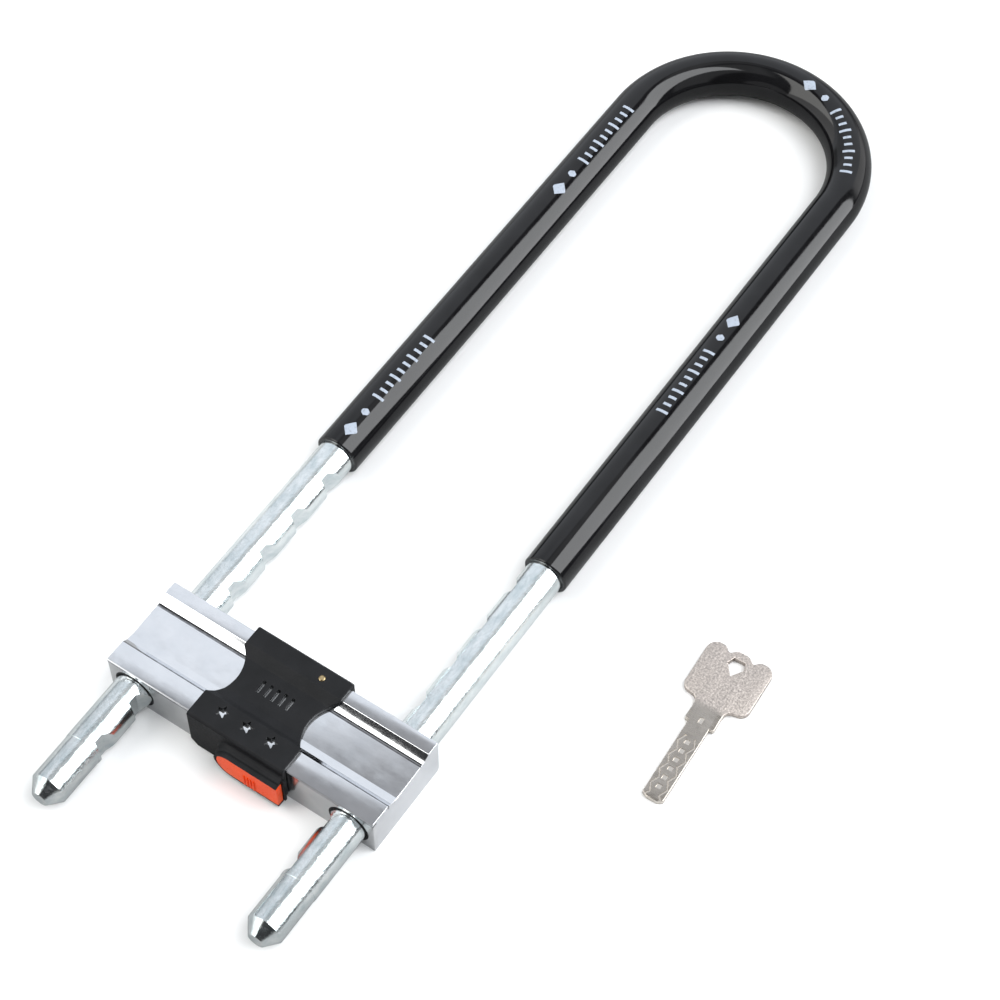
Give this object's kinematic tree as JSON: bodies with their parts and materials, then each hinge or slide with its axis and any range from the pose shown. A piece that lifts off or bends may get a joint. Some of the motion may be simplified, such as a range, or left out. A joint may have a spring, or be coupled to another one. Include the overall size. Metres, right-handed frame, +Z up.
{
  "type": "u lock",
  "caption": "Adjustable bicycle U lock: notched steel shackle with a black sleeve, sliding keyed crossbar with a dust shutter, and its key.",
  "frame": {"origin": "middle of the crossbar in plan, on the flat face it rests on", "axes": "+X along the crossbar, +Y along the legs towards the bend of the shackle, +Z up from the rest face"},
  "size_m": [0.2104, 0.4724, 0.0238],
  "materials": {
    "chrome_body": "bright chrome plate",
    "zinc_plate": "zinc plated sheet",
    "zinc_rod": "bright bluish zinc plate on hardened rod",
    "dark_steel": "blackened steel",
    "hard_steel": "ground hardened steel",
    "spring_steel": "drawn spring wire and strip",
    "brass": "machined brass",
    "black_plastic": "satin charcoal moulding",
    "black_sleeve": "glossy black vinyl sleeve",
    "orange_plastic": "bright orange-red moulding",
    "nickel_key": "nickel plate with a sandblasted bow"
  },
  "bodies": {
    "crossbar": {"crossbar_body": "chrome_body", "front_plate": "chrome_body", "base_plate": "zinc_plate", "base_plate_screws": "dark_steel", "leg_bushes": "black_plastic", "centre_cover": "black_plastic", "cover_rivet": "brass", "shutter_housing": "black_plastic", "shutter_leaf_spring": "spring_steel", "cylinder_housing": "brass", "cylinder_set_screw": "dark_steel", "bolt_springs": "spring_steel"},
    "shackle": {"shackle_rod": "zinc_rod", "shackle_sleeve": "black_sleeve"},
    "plug": {"cylinder_plug": "brass", "tumbler_sliders": "brass", "slider_springs": "spring_steel", "side_bar": "brass", "retaining_clip": "spring_steel", "cam_disc": "dark_steel"},
    "left_bolt": {"left_bolt": "hard_steel", "left_drive_pin": "hard_steel"},
    "right_bolt": {"right_bolt": "hard_steel", "right_drive_pin": "hard_steel"},
    "shutter": {"dust_shutter": "orange_plastic"},
    "key": {"key": "nickel_key"}
  },
  "joints": [
    {"name": "shackle_slide", "type": "slide", "parent": "crossbar", "child": "shackle", "axis": [0, 1, 0], "range_m": [-0.082, 0.11]},
    {"name": "plug_turn", "type": "hinge", "parent": "crossbar", "child": "plug", "pos_m": [0, 0, 0.0098], "axis": [0, 1, 0], "range_deg": [0, 90]},
    {"name": "left_bolt_slide", "type": "slide", "parent": "crossbar", "child": "left_bolt", "axis": [-1, 0, 0], "range_m": [0, 0.0032]},
    {"name": "right_bolt_slide", "type": "slide", "parent": "crossbar", "child": "right_bolt", "axis": [1, 0, 0], "range_m": [0, 0.0032]},
    {"name": "shutter_slide", "type": "slide", "parent": "crossbar", "child": "shutter", "axis": [1, 0, 0], "range_m": [0, 0.015]},
    {"name": "key_lift", "type": "slide", "parent": "crossbar", "child": "key", "axis": [0, 0, 1], "range_m": [0, 0.02]}
  ],
  "couplings": [
    {"joint": "left_bolt_slide", "follows": "plug_turn", "m_per_rad": 0.0020372},
    {"joint": "right_bolt_slide", "follows": "plug_turn", "m_per_rad": 0.0020372}
  ]
}
